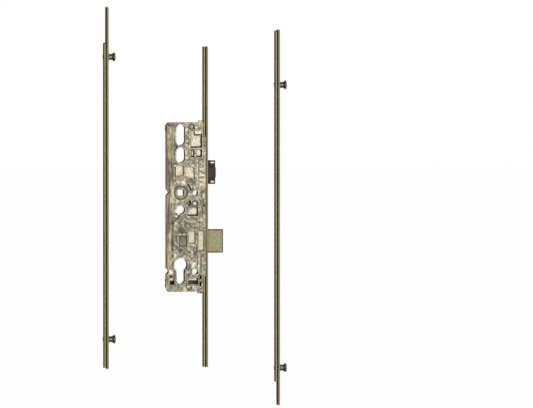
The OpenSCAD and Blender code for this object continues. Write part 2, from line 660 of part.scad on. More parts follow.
module case_back() {
    color(zinc) difference() {
        union() {
            slab(inner_y, plate_y) case_outline();
            // stiffening pads
            slab(plate_y - 0.1, plate_y + 0.5) {
                round_rect([-16.4, 8], [-7.4, 86], 1.6);
                round_rect([8.4, 40], [backset - 8, 80], 2);
                round_rect([-16.4, -70], [-8.6, -10], 1.6);
                round_rect([-4, bolt_z0 + 4.6], [backset - 8, bolt_z0 + 34.6], 2);
                round_rect([-15, case_bottom_z + 1.7], [backset - 11, case_bottom_z + 7.3], 1.2);
                circle(follower_face_r + 2);
                translate([0, cylinder_z]) circle(cylinder_r + 1.8);
            }
            // abutment of the latch's spring
            slab(-0.6, inner_y + eps) round_rect([-6.5, 28], [-2.9, 34.4], 0.6);
        }
        slab(-1, case_half_t + 1) {
            through_holes_2d();
            cylinder_hole_2d();
            for (p = case_rivet_at) translate(p) circle(rivet_shank_r + running_gap);
        }
        bar_y(0, 0, follower_face_r + running_gap, 0, case_half_t + 1);
        for (p = case_rivet_at) bar_y(p[0], p[1], rivet_head_r + 0.2, plate_y, case_half_t + 1);
        // shallow panels
        slab(plate_y - 0.1, case_half_t + 1) {
            round_rect([10.6, 42.4], [backset - 10.2, 77.6], 1.2);
            round_rect([-1.6, bolt_z0 + 7], [backset - 10.4, bolt_z0 + 32.2], 1.2);
        }
    }
}

// A round-headed rivet through the case
module case_rivet(p, y0, y1, both_ends) {
    bar_y(p[0], p[1], rivet_shank_r, y0, y1);
    translate([p[0], y0, p[1]]) rotate([90, 0, 0]) rivet_dome(rivet_head_r, 0.8);
    if (both_ends) translate([p[0], y1, p[1]]) rotate([-90, 0, 0]) rivet_dome(rivet_head_r, 0.8);
}

// A shallow dome on radius r with height h, standing on z = 0
module rivet_dome(r, h) {
    rotate_extrude() polygon([[0, 0], [r, 0], [r, 0.25 * h], [0.85 * r, 0.7 * h], [0.5 * r, 0.95 * h], [0, h]]);
}

module case_rivets() {
    color(zinc) {
        for (p = case_rivet_at) case_rivet(p, -plate_y - 0.05, plate_y + 0.05, true);
        case_rivet(blind_rivet_at, -case_half_t - 0.05, -inner_y + 0.05, false);
    }
}

module lever_pivot() {
    color(bright_steel) {
        bar_y(lever_pivot_at[0], lever_pivot_at[1], lever_pivot_r, -plate_y - 0.05, front_y1);
        translate([lever_pivot_at[0], -plate_y - 0.05, lever_pivot_at[1]]) rotate([90, 0, 0])
            rivet_dome(lever_pivot_r + 0.6, 0.8);
        bar_y(lever_pivot_at[0], lever_pivot_at[1], lever_pivot_r + 1.2, lever_y1 + slide_gap, front_y1);
    }
}

module case_screws() {
    color(bronze) for (z = case_screw_z) difference() {
        union() {
            bar_x(0, z, case_screw_r, backset - case_screw_l, backset - 0.1);
            translate([backset - (case_screw_head_r - case_screw_r), 0, z]) rotate([0, 90, 0])
                cylinder(r1 = case_screw_r, r2 = case_screw_head_r, h = case_screw_head_r - case_screw_r);
        }
        // cross recess
        for (a = [0, 90]) translate([backset - 1.2, 0, z]) rotate([a, 0, 0])
            translate([0, -2, -0.4]) cube([2, 4, 0.8]);
    }
}

lever_end_r = 3.4;
lever_y0 = front_y0;
lever_y1 = front_y0 + 2.4;

module bolt_lever() {
    color(bright_steel) slab(lever_y0, lever_y1) translate(lever_pivot_at) rotate(lever_rest_angle) difference() {
        union() {
            circle(4);
            translate([-lever_end_r, -lever_far]) square([2 * lever_end_r, lever_far]);
            translate([0, -lever_far]) circle(lever_end_r);
        }
        circle(lever_pivot_r + running_gap);
        slot_2d(0, -lever_far - stump_r - 0.25, -lever_near + stump_r + 0.25, stump_r + 0.15);
    }
}

// The deadbolt: head, tail and the leg that the cylinder's cam pushes
module deadbolt() {
    head_x0 = plate_back_x - 1;
    tail_x0 = case_inner_x + 0.3 + bolt_throw;
    tail_top = lever_pivot_at[1] - lever_far - lever_end_r - 0.3;
    nose_x = backset + bolt_throw;
    color(bronze) difference() {
        union() {
            // head with rounded outer corners
            slab(front_y0, front_y1) {
                translate([head_x0, bolt_z0]) square([nose_x - head_x0 - 1, bolt_h]);
                translate([head_x0, bolt_z0 + 1]) square([nose_x - head_x0, bolt_h - 2]);
                for (z = [bolt_z0 + 1, bolt_z0 + bolt_h - 1]) translate([nose_x - 1, z]) circle(1);
            }
            slab(front_y0, front_y1) translate([tail_x0, bolt_z0 + 2.2])
                square([head_x0 + 1 - tail_x0, tail_top - bolt_z0 - 2.2]);
            // leg for the cam
            slab(front_y0, front_y1) translate([tail_x0 + 6.3, cylinder_z + 11.6])
                square([6, bolt_z0 - cylinder_z - 8]);
            // ear that carries the stump
            slab(lever_y1 + 2 * slide_gap, front_y1)
                round_rect([stump_x - 3.2, stump_z - 6], [stump_x + 3.2, stump_z + 3.2], 1);
        }
        bar_y(stump_x, stump_z, stump_r - 0.4, lever_y1 - 1, front_y1 + 1);
    }
}

module deadbolt_stump() {
    color(bright_steel) {
        bar_y(stump_x, stump_z, stump_r, lever_y0, lever_y1 + 2 * slide_gap);
        bar_y(stump_x, stump_z, stump_r - 0.45, lever_y1, front_y1);
    }
}

latch_nose_x = backset + latch_throw;
latch_rear_x = backset - 14.8;
tongue_z0 = latch_z0 + 8.1;
tongue_z1 = latch_z0 + 21.4;
tongue_x0 = backset - 9;
latch_tail_x0 = case_inner_x + latch_throw + 0.4;
latch_tail_y1 = -0.8;

// The slanted side of the latch, cut away from its far side
module latch_slope() {
    translate([0, 0, latch_z0 - 1]) linear_extrude(latch_h + 2)
        polygon([[latch_nose_x + 2, front_y1 - 6.4], [latch_nose_x + 2, front_y1 + 1], [backset + 0.4, front_y1 + 1]]);
}

// The T that joins the latch's tail to its block, with the clearance gap all round
module latch_joint(gap) {
    slab(front_y0 - gap, latch_tail_y1 + gap) {
        translate([latch_rear_x - 0.5, latch_z0 + 15.1 - gap]) square([3 + gap, 4.6 + 2 * gap]);
        translate([latch_rear_x + 1.2 - gap, latch_z0 + 13.5 - gap]) square([1.3 + 2 * gap, 7.8 + 2 * gap]);
    }
}

// The tail of the latch over the follower, with the hook that the follower pulls
module latch_tail() {
    hook_x1 = -2.8;
    color(bright_steel) {
        slab(front_y0, latch_tail_y1) translate([latch_tail_x0, latch_z0 + 5.4])
            square([latch_rear_x - running_gap - latch_tail_x0, 19.3]);
        slab(front_y0, latch_tail_y1) translate([latch_tail_x0, latch_z0 + 0.7])
            square([hook_x1 - latch_tail_x0, 5.7]);
        latch_joint(0);
    }
}

module latch_block() {
    color(dark_plastic) difference() {
        slab(front_y0, front_y1) translate([latch_rear_x, latch_z0])
            square([latch_nose_x - latch_rear_x, latch_h]);
        latch_joint(running_gap);
        translate([tongue_x0, -case_half_t, tongue_z0 - 0.05])
            cube([latch_nose_x, 2 * case_half_t, tongue_z1 - tongue_z0 + 0.1]);
        latch_slope();
        for (z = [latch_z0 + 1.7, latch_z0 + latch_h - 4]) translate([latch_nose_x - 6.1, front_y0 - 1, z])
            cube([4.7, 2.2, 2.4]);
    }
}

module latch_tongue() {
    color(dark_steel) difference() {
        slab(front_y0, front_y1) round_rect([tongue_x0 + 0.05, tongue_z0], [latch_nose_x + 0.7, tongue_z1], 0.6);
        latch_slope();
    }
}

module latch_inserts() {
    color(brass) for (z = [latch_z0 + 1.7, latch_z0 + latch_h - 4])
        translate([latch_nose_x - 6.05, front_y0 + 0.05, z + 0.05]) cube([4.6, 1.1, 2.3]);
}

// A mushroom bolt on the axis along X through height z
module mushroom(front_x, z) {
    rail_back = front_x - faceplate_t - slide_gap - rail_t;
    reach = mushroom_reach;
    color(dark_steel) difference() {
        union() {
            bar_x(0, z, mushroom_shank_r, rail_back - 0.05, front_x + 1);
            translate([rail_back - 0.05, 0, z]) rotate([0, -90, 0]) rivet_dome(mushroom_shank_r + 0.65, 0.9);
            translate([front_x, mushroom_eccentricity, z]) rotate([0, 90, 0]) rotate_extrude() polygon([
                [0, 0.95], [mushroom_stem_r, 0.95], [mushroom_stem_r, 0.5 * reach],
                [mushroom_stem_r + 0.3, 0.6 * reach], [mushroom_head_r - 0.5, 0.7 * reach],
                [mushroom_head_r, 0.77 * reach], [mushroom_head_r, 0.84 * reach],
                [mushroom_head_r - 0.6, 0.93 * reach], [mushroom_head_r - 1.8, 0.985 * reach], [0, reach]]);
        }
        // hexagonal socket of the adjuster
        translate([front_x + reach - 2.6, mushroom_eccentricity, z]) rotate([0, 90, 0]) cylinder(r = 2.3, h = 4, $fn = 6);
    }
}

// The domed washer that slides on the faceplate under a mushroom
module mushroom_washer(front_x, z) {
    color(bronze) translate([front_x + slide_gap / 2, 0, z]) rotate([0, 90, 0]) rotate_extrude() polygon([
        [mushroom_shank_r + running_gap, 0], [washer_r, 0], [washer_r, 0.3], [washer_r - 0.8, 0.6],
        [mushroom_stem_r + 0.6, 0.85], [mushroom_shank_r + running_gap, 0.85]]);
}

module top_mushroom_upper() { mushroom(top_front_x, top_mushroom_z1); }
module top_mushroom_lower() { mushroom(top_front_x, top_mushroom_z0); }
module bottom_mushroom_upper() { mushroom(bottom_front_x, bottom_mushroom_z1); }
module bottom_mushroom_lower() { mushroom(bottom_front_x, bottom_mushroom_z0); }

module top_rail_washers() {
    for (z = [top_mushroom_z1, top_mushroom_z0]) mushroom_washer(top_front_x, z);
}

module bottom_rail_washers() {
    for (z = [bottom_mushroom_z1, bottom_mushroom_z0]) mushroom_washer(bottom_front_x, z);
}

// A coil spring along Z from 0 to h: coil radius r, wire radius w
module coil_spring(r, w, h, turns) {
    sides = 6;
    steps = 10;
    count = turns * steps;
    rise = (h - 2 * w) / count;
    points = [for (i = [0:count], k = [0:sides - 1])
        let (a = i * 360 / steps, b = k * 360 / sides, q = r + w * cos(b))
        [q * cos(a), q * sin(a), w + i * rise + w * sin(b)]];
    walls = [for (i = [0:count - 1], k = [0:sides - 1])
        let (n = (k + 1) % sides, p = i * sides)
        each [[p + k, p + n, p + sides + n], [p + k, p + sides + n, p + sides + k]]];
    first_cap = [for (k = [1:sides - 2]) [0, k + 1, k]];
    polyhedron(points, concat(walls, first_cap, [for (k = [1:sides - 2])
        [count * sides, count * sides + k, count * sides + k + 1]]));
}

latch_spring_z = 31.2;
latch_spring_y = 1.6;

module latch_spring() {
    color(bright_steel) translate([-2.85, latch_spring_y, latch_spring_z]) rotate([0, 90, 0])
        coil_spring(1.8, 0.35, latch_rear_x + 2.8, 9);
}

module follower_spring() {
    color(bright_steel) translate([spring_x, front_y0 + 2.2, -32.2])
        coil_spring(spring_coil_r, spring_wire_r, 29.6, 14);
}

centre_faceplate();
top_faceplate();
bottom_faceplate();
case_front();
case_back();
case_rivets();
case_screws();
lever_pivot();
latch_spring();
follower_spring();
drive_slide();
upper_rail();
lower_rail();
follower();
top_rail();
top_rail_washers();
bottom_rail();
bottom_rail_washers();
top_mushroom_upper();
top_mushroom_lower();
bottom_mushroom_upper();
bottom_mushroom_lower();
latch_block();
latch_tail();
latch_tongue();
latch_inserts();
deadbolt();
deadbolt_stump();
bolt_lever();
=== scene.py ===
# %% [markdown]
# # A multipoint door lock
# The solids of the lock come from the frame, and they never move here or change their shape. This lesson
# dresses them: each one gets the finish that the real lock shows, and modifiers round off the edges that
# aren't sharp on the real one. First the frame is loaded and its box is kept.

# %% Load the frame
import math

import bmesh
import bpy
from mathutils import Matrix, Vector


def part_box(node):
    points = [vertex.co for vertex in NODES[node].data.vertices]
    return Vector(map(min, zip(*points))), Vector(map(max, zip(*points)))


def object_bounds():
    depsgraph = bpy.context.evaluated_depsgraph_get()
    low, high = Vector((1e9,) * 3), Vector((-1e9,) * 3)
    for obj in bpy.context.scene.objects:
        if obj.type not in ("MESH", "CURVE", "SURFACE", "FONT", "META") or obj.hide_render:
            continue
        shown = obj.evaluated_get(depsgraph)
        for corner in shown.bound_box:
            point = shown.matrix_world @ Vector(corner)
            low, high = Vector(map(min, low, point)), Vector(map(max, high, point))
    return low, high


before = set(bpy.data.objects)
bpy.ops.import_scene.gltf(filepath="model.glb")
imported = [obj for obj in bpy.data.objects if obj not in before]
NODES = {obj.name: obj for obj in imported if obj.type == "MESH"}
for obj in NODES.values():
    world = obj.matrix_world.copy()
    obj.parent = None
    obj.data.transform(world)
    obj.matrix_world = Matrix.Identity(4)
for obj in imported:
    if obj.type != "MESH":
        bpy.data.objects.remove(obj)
CAD_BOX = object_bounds()
MM = 0.001
print("nodes:", len(NODES), "box:", [round(v / MM, 1) for corner in CAD_BOX for v in corner])

# %% [markdown]
# ## Building node trees
# Worlds, materials and shared effects are all trees of nodes. A helper that adds a node and fills its
# sockets in one call keeps the rest of the lesson short, and it works the same in all three.

# %% Helpers for node trees
FLOAT, COLOUR, VECTOR = "NodeSocketFloat", "NodeSocketColor", "NodeSocketVector"
BLACK, WHITE = (0.0, 0.0, 0.0, 1.0), (1.0, 1.0, 1.0, 1.0)
NOWHERE = (0.0, 0.0, 0.0)


def fill(node, sockets):
    """Sets each socket to a value, or links it. A name such as in1 means the input with that number."""
    for name, value in sockets.items():
        key = int(name[2:]) if name.startswith("in") and name[2:].isdigit() else name.replace("_", " ")
        socket = node.inputs[key]
        if isinstance(value, bpy.types.NodeSocket):
            socket.id_data.links.new(value, socket)
        else:
            socket.default_value = value
    return node


def add(tree, kind, settings=None, **sockets):
    """A new node. settings are its own options, sockets the values or links of its inputs."""
    node = tree.nodes.new(kind)
    for name, value in (settings or {}).items():
        setattr(node, name, value)
    return fill(node, sockets)


def group(tree, effect_tree, **sockets):
    """A shared effect, placed in a material's tree."""
    return fill(add(tree, "ShaderNodeGroup", {"node_tree": effect_tree}), sockets)


def effect(name, inputs, outputs):
    """An empty shared effect with named sockets: (its tree, input node, output node)."""
    tree = bpy.data.node_groups.new(name, "ShaderNodeTree")
    for socket, kind, value in inputs:
        tree.interface.new_socket(name=socket, in_out="INPUT", socket_type=kind).default_value = value
    for socket, kind in outputs:
        tree.interface.new_socket(name=socket, in_out="OUTPUT", socket_type=kind)
    return tree, tree.nodes.new("NodeGroupInput"), tree.nodes.new("NodeGroupOutput")


print("node helpers ready")

# %% [markdown]
# Masks are numbers from 0 to 1 that say where a paint goes. Multiplied, two masks leave only what both of
# them hold. A colour is mixed into another by a mask, or multiplied by a tint.

# %% Helpers for masks and colours
def calculated(tree, operation, first, second=0.0):
    return add(tree, "ShaderNodeMath", {"operation": operation}, in0=first, in1=second).outputs[0]


def times(tree, first, second):
    return calculated(tree, "MULTIPLY", first, second)


def between(tree, value, start, end, smooth=False):
    """0 at start, 1 at end. The start may be the larger number."""
    kind = "SMOOTHSTEP" if smooth else "LINEAR"
    node = add(tree, "ShaderNodeMapRange", {"interpolation_type": kind}, Value=value, From_Min=start,
               From_Max=end)
    return node.outputs["Result"]


def from_to(tree, mask, none, full):
    """A value that is none where the mask is 0 and full where it is 1."""
    return add(tree, "ShaderNodeMapRange", Value=mask, To_Min=none, To_Max=full).outputs["Result"]


def mixed(tree, mask, first, second):
    """The first colour where the mask is 0, the second where it is 1."""
    return add(tree, "ShaderNodeMix", {"data_type": "RGBA"}, in0=mask, in6=first, in7=second).outputs[2]


def mixed_value(tree, mask, first, second):
    return add(tree, "ShaderNodeMix", {"data_type": "FLOAT"}, in0=mask, in2=first, in3=second).outputs[0]


def rgba(colour):
    return (*colour, 1.0)


def tinted(tree, colour, tint, amount):
    """The colour multiplied by a tint, by an amount from 0 to 1."""
    tint = tint if isinstance(tint, bpy.types.NodeSocket) else rgba(tint)
    multiply = {"data_type": "RGBA", "blend_type": "MULTIPLY"}
    return add(tree, "ShaderNodeMix", multiply, in0=amount, in6=colour, in7=tint).outputs[2]


def ramp(tree, factor, stops):
    """A colour ramp; each stop is (place, colour)."""
    node = add(tree, "ShaderNodeValToRGB", Fac=factor)
    band = node.color_ramp
    for element, (place, colour) in zip(band.elements, (stops[0], stops[-1])):
        element.position = place
        element.color = rgba(colour)
    for place, colour in stops[1:-1]:
        band.elements.new(place).color = rgba(colour)
    return node.outputs["Color"]


def srgb(red, green, blue):
    """A colour as the eye gives it, 0 to 255, turned into the numbers that light adds up in."""
    return tuple((v / 255 / 12.92) if v / 255 <= 0.04045 else ((v / 255 + 0.055) / 1.055) ** 2.4
                 for v in (red, green, blue))


print("mid grey in light:", round(srgb(128, 128, 128)[0], 3))

# %% [markdown]
# ## The camera
# The three sections were photographed from far away, slightly from the left and a little from above:
# every strip shows the same sliver of its back. A long lens at twenty metres gives that flat look. Its
# turn, its aim and the picture's width were fitted to edges measured in the photograph.

# %% Camera
VIEW_TURN = math.radians(-7.2)
VIEW_RISE = math.radians(3.0)
CAMERA_AWAY = 20.0
PICTURE_WIDTH = 0.6805
AIM = Vector((0.11100, 0.0, -0.0151))
FILM_WIDTH = 36.0

lens = bpy.data.cameras.new("long_lens")
lens.sensor_width = FILM_WIDTH
lens.lens = FILM_WIDTH * CAMERA_AWAY / PICTURE_WIDTH
lens.clip_end = 5 * CAMERA_AWAY
camera = bpy.data.objects.new("camera", lens)
bpy.context.scene.collection.objects.link(camera)
away = Vector((math.sin(VIEW_TURN) * math.cos(VIEW_RISE), -math.cos(VIEW_TURN) * math.cos(VIEW_RISE),
               math.sin(VIEW_RISE)))
camera.location = AIM + CAMERA_AWAY * away
camera.rotation_mode = "QUATERNION"
camera.rotation_quaternion = (-away).to_track_quat("-Z", "Y")
bpy.context.scene.camera = camera
bpy.context.scene.view_settings.view_transform = "Standard"
print("lens:", round(lens.lens), "mm")

# %% [markdown]
# ## The studio
# A plain white room. The world is white for the camera and for reflections, and dimmer as a light, so
# that the lamps shape the casting. Far lamps with a wide angle stand for large soft boxes: the key comes
# from the front right, one fills in from the upper left, and one lights the back for the other views.

# %% World
WORLD_LIGHT = 0.30
WORLD_TINT = (0.95, 0.97, 1.0, 1.0)


def light_path_is_seen(tree):
    """1 where the ray comes from the camera, a reflection or through glass."""
    path = add(tree, "ShaderNodeLightPath").outputs
    either = calculated(tree, "MAXIMUM", path["Is Camera Ray"], path["Is Glossy Ray"])
    return calculated(tree, "MAXIMUM", either, path["Is Transmission Ray"])


world = bpy.data.worlds.new("white_room")
world.use_nodes = True
bpy.context.scene.world = world
sky = world.node_tree
sky.nodes.clear()
as_light = add(sky, "ShaderNodeBackground", Color=WORLD_TINT, Strength=WORLD_LIGHT)
as_seen = add(sky, "ShaderNodeBackground", Color=WHITE, Strength=1.0)
pick = add(sky, "ShaderNodeMixShader", Fac=light_path_is_seen(sky), in1=as_light.outputs[0],
           in2=as_seen.outputs[0])
add(sky, "ShaderNodeOutputWorld", Surface=pick.outputs[0])
print("world:", world.name)

# %% Lamps
# The direction each lamp shines from, its strength and its width in degrees
LAMPS = {"key_lamp": ((0.55, -1.0, 0.25), 1.9, 30), "fill_lamp": ((-0.5, -1.0, 0.9), 0.45, 40),
         "back_lamp": ((0.3, 1.0, 0.8), 0.6, 40)}


def soft_lamp(name, comes_from, strength, spread):
    """A far lamp that shines from a direction, as wide as a soft box seen from the object."""
    lamp = bpy.data.lights.new(name, "SUN")
    lamp.energy = strength
    lamp.angle = math.radians(spread)
    holder = bpy.data.objects.new(name, lamp)
    bpy.context.scene.collection.objects.link(holder)
    holder.rotation_mode = "QUATERNION"
    holder.rotation_quaternion = Vector(comes_from).to_track_quat("Z", "Y")


for name, (comes_from, strength, spread) in LAMPS.items():
    soft_lamp(name, comes_from, strength, spread)
print("lamps:", list(LAMPS))

# %% [markdown]
# The photograph shows no floor at all, so this one glows almost white for the camera. It still catches
# light and shadow for the pieces above it, because only the camera and reflections see the glow.

# %% Floor
FLOOR_Z = CAD_BOX[0].z - 0.4 * MM
FLOOR_SIZE = 6.0
FLOOR_GLOW = 0.96

floor_mesh = bpy.data.meshes.new("floor")
floor_form = bmesh.new()
bmesh.ops.create_grid(floor_form, x_segments=1, y_segments=1, size=FLOOR_SIZE)
bmesh.ops.translate(floor_form, verts=floor_form.verts, vec=(0.0, 0.0, FLOOR_Z))
floor_form.to_mesh(floor_mesh)
floor_form.free()
floor = bpy.data.objects.new("floor", floor_mesh)
bpy.context.scene.collection.objects.link(floor)

floor_finish = bpy.data.materials.new("white_floor")
floor_finish.use_nodes = True
tree = floor_finish.node_tree
paint = fill(tree.nodes["Principled BSDF"], {"Base_Color": (0.9, 0.9, 0.9, 1.0), "Roughness": 0.9})
glow = add(tree, "ShaderNodeEmission", Strength=1.0)
share = times(tree, light_path_is_seen(tree), FLOOR_GLOW)
blend = add(tree, "ShaderNodeMixShader", Fac=share, in1=paint.outputs[0], in2=glow.outputs[0])
fill(tree.nodes["Material Output"], {"Surface": blend.outputs[0]})
floor_mesh.materials.append(floor_finish)
print("floor at", round(FLOOR_Z / MM, 1), "mm")

# %% [markdown]
# ## Effects that the finishes share
# Each effect is a node group that is built once and placed in every material that needs it, with values
# of its own.
#
# ** Painted corner shade and edge highlights.** Painted shade darkens the corners of a casting and the gaps
# between the strips, and a painted highlight lights the outer edges. Both could be painted by hand on an
# unwrapped mesh, but ambient occlusion finds them from the shape itself: outside the surface the corners,
# inside it the edges. The painted shade lies mostly at the right and the lower edges, so the corners are
# looked for around a normal that leans that way.

# %% Crease effect
CORNER_NONE, CORNER_FULL = 0.975, 0.72
EDGE_NONE, EDGE_FULL = 0.95, 0.6
CORNER_SHADE_EDGE_LIGHT, crease_in, crease_out = effect(
    "creases_and_edges",
    [("Colour", COLOUR, BLACK), ("Crease Colour", COLOUR, BLACK), ("Edge Colour", COLOUR, BLACK),
     ("Crease Size", FLOAT, 0.0022), ("Crease Amount", FLOAT, 1.0), ("Edge Size", FLOAT, 0.0008),
     ("Edge Amount", FLOAT, 0.5), ("Lean", VECTOR, NOWHERE)],
    [("Colour", COLOUR), ("Crease", FLOAT)])
given = crease_in.outputs
normal = add(CORNER_SHADE_EDGE_LIGHT, "ShaderNodeNewGeometry").outputs["Normal"]
leaning = add(CORNER_SHADE_EDGE_LIGHT, "ShaderNodeVectorMath", {"operation": "ADD"}, in0=normal, in1=given["Lean"])
leaning = add(CORNER_SHADE_EDGE_LIGHT, "ShaderNodeVectorMath", {"operation": "NORMALIZE"}, in0=leaning.outputs["Vector"])
# Painted shade in the corners, found by occlusion outside the surface
outside = add(CORNER_SHADE_EDGE_LIGHT, "ShaderNodeAmbientOcclusion", {"samples": 16}, Distance=given["Crease Size"],
              Normal=leaning.outputs["Vector"])
# Painted highlight on the outer edges, found by occlusion inside the surface
inside = add(CORNER_SHADE_EDGE_LIGHT, "ShaderNodeAmbientOcclusion", {"only_local": True, "inside": True, "samples": 8},
             Distance=given["Edge Size"])
in_corner = between(CORNER_SHADE_EDGE_LIGHT, outside.outputs["AO"], CORNER_NONE, CORNER_FULL, smooth=True)
crease = times(CORNER_SHADE_EDGE_LIGHT, in_corner, given["Crease Amount"])
on_edge = between(CORNER_SHADE_EDGE_LIGHT, inside.outputs["AO"], EDGE_NONE, EDGE_FULL)
edge = times(CORNER_SHADE_EDGE_LIGHT, on_edge, given["Edge Amount"])
edge_lit = mixed(CORNER_SHADE_EDGE_LIGHT, edge, given["Colour"], given["Edge Colour"])
fill(crease_out, {"Colour": mixed(CORNER_SHADE_EDGE_LIGHT, crease, edge_lit, given["Crease Colour"]), "Crease": crease})
print("effect:", CORNER_SHADE_EDGE_LIGHT.name)

# %% [markdown]
# ** Painted side shade.** The walls of a casting's pockets and holes and the backs of the strips get painted
# shade, and a turned piece gets painted shade beside a painted highlight. A second material on those faces
# would need them sorted out by hand, but the surface's own normal tells them apart in one material: the
# effect paints where the normal, measured along a chosen direction, falls from the value None At to the
# value Full At. With Both Ways at 1 it counts the opposite direction as well.

# %% Side effect
SIDE_SHADE, side_in, side_out = effect(
    "dark_sides",
    [("Colour", COLOUR, BLACK), ("Side Colour", COLOUR, BLACK), ("Along", VECTOR, (0.0, 1.0, 0.0)),
     ("Both Ways", FLOAT, 1.0), ("None At", FLOAT, 0.8), ("Full At", FLOAT, 0.3), ("Amount", FLOAT, 1.0)],
    [("Colour", COLOUR), ("Side", FLOAT)])
given = side_in.outputs
normal = add(SIDE_SHADE, "ShaderNodeTexCoord").outputs["Normal"]
along = add(SIDE_SHADE, "ShaderNodeVectorMath", {"operation": "DOT_PRODUCT"}, in0=normal, in1=given["Along"])
signed = along.outputs["Value"]
measured = mixed_value(SIDE_SHADE, given["Both Ways"], signed, calculated(SIDE_SHADE, "ABSOLUTE", signed))
# The side colour is painted shade where the normal turns away from the chosen direction
side = times(SIDE_SHADE, between(SIDE_SHADE, measured, given["None At"], given["Full At"]), given["Amount"])
fill(side_out, {"Colour": mixed(SIDE_SHADE, side, given["Colour"], given["Side Colour"]), "Side": side})
print("effect:", SIDE_SHADE.name)

# %% [markdown]
# **Flow marks.** Molten zinc leaves clouds and swirls where streams of it met. A picture of them would
# repeat and would have to be laid round every corner, but noise fills the whole space that the piece
# stands in. Two noises, a coarse one that is warped and a fine one, make a mask from 0 to 1 and a height
# for the bump.

# %% Flow effect
FLOW, flow_in, flow_out = effect(
    "flow_marks",
    [("Vector", VECTOR, NOWHERE), ("Scale", FLOAT, 70.0), ("Warp", FLOAT, 2.0), ("Fine", FLOAT, 0.35)],
    [("Mask", FLOAT), ("Height", FLOAT)])
FINER = 5.0
NOISE_LOW, NOISE_HIGH = 0.34, 0.66
given = flow_in.outputs
coarse = add(FLOW, "ShaderNodeTexNoise", Vector=given["Vector"], Scale=given["Scale"], Detail=3.0,
             Roughness=0.55, Distortion=given["Warp"])
fine = add(FLOW, "ShaderNodeTexNoise", Vector=given["Vector"], Scale=times(FLOW, given["Scale"], FINER),
           Detail=4.0, Roughness=0.6)
height = mixed_value(FLOW, given["Fine"], coarse.outputs["Fac"], fine.outputs["Fac"])
fill(flow_out, {"Mask": between(FLOW, height, NOISE_LOW, NOISE_HIGH), "Height": height})
print("effect:", FLOW.name)

# %% [markdown]
# ** Rings.** A ring of painted shade marks the gap round a turning joint or a pin, and the outline of a dome,
# where the shape alone doesn't darken it enough. The effect darkens a colour at a radius around an axis that
# runs through the door, and fades within half the ring's width.

# %% Ring effect
SHADE_RING, ring_in, ring_out = effect(
    "painted_shade_ring",
    [("Colour", COLOUR, BLACK), ("Ring Colour", COLOUR, BLACK), ("Vector", VECTOR, NOWHERE),
     ("Centre", VECTOR, NOWHERE), ("Radius", FLOAT, 0.008), ("Half Width", FLOAT, 0.0006)],
    [("Colour", COLOUR)])
RING_STRENGTH = 0.9
given = ring_in.outputs
apart = add(SHADE_RING, "ShaderNodeVectorMath", {"operation": "SUBTRACT"}, in0=given["Vector"],
            in1=given["Centre"])
in_plane = add(SHADE_RING, "ShaderNodeVectorMath", {"operation": "MULTIPLY"}, in0=apart.outputs["Vector"],
               in1=(1.0, 0.0, 1.0))
reach = add(SHADE_RING, "ShaderNodeVectorMath", {"operation": "LENGTH"}, in0=in_plane.outputs["Vector"])
off = calculated(SHADE_RING, "ABSOLUTE", calculated(SHADE_RING, "SUBTRACT", reach.outputs["Value"], given["Radius"]))
# The ring is painted shade
inked = times(SHADE_RING, between(SHADE_RING, off, given["Half Width"], 0.0, smooth=True), RING_STRENGTH)
fill(ring_out, {"Colour": mixed(SHADE_RING, inked, given["Colour"], given["Ring Colour"])})
print("effects:", [shared.name for shared in bpy.data.node_groups])

# %% [markdown]
# ## The finishes
# A finish is one material. A helper starts it with a Principled shader and the piece's own coordinates,
# which stay with the piece when it moves. Others stretch a pattern, dull the shine where a mask lies,
# turn a height into bumps, and mark out a rectangle on the piece.

# %% Start of a finish
def finish(name, metallic, roughness, specular):
    """(material, its tree, its Principled shader, the Object coordinates)."""
    material = bpy.data.materials.new(name)
    material.use_nodes = True
    tree = material.node_tree
    shader = tree.nodes["Principled BSDF"]
    fill(shader, {"Metallic": metallic, "Roughness": roughness, "Specular_IOR_Level": specular})
    return material, tree, shader, add(tree, "ShaderNodeTexCoord").outputs["Object"]


def stretched(tree, here, along_z):
    """The coordinates for a pattern that is drawn out upwards."""
    return add(tree, "ShaderNodeMapping", Vector=here, Scale=(1.0, 1.0, along_z)).outputs["Vector"]


def dull_where(tree, shader, mask, metallic, roughness):
    """Where the mask is 1, the surface is neither metallic nor shiny."""
    fill(shader, {"Metallic": from_to(tree, mask, metallic, 0.0),
                  "Roughness": from_to(tree, mask, roughness, 1.0)})


def roughened(tree, shader, height, strength, distance):
    bumps = add(tree, "ShaderNodeBump", Strength=strength, Distance=distance, Height=height)
    fill(shader, {"Normal": bumps.outputs["Normal"]})


def box_mask(tree, place, low, high, soft=0.3):
    """1 inside a rectangle in X and Z, given in millimetres, with a soft rim inside it. place holds the
    coordinates of the point that is painted, as X, Y and Z."""
    sides = [between(tree, place[axis], edge * MM, (edge + step) * MM)
             for axis, start, end in (("X", low[0], high[0]), ("Z", low[1], high[1]))
             for edge, step in ((start, soft), (end, -soft))]
    total = sides[0]
    for side in sides[1:]:
        total = times(tree, total, side)
    return total


print("finish helpers ready")

# %% [markdown]
# ## Cast zinc
# The case is a zinc die casting with a thin yellowish passivation. The wide ledge along its rear edge is
# darker and streaked upwards by the die, the rest is clouded, and the floors of the pockets get a painted
# sheen. Its large forms are in the solid. The lowest marks and the shade at them could be sculpted on a
# second mesh, but paint and painted shade show them as well and leave the solid as it is. The places
# below are rectangles on the casting, each with its lower rear and its upper front corner, in millimetres
# from the spindle's centre.

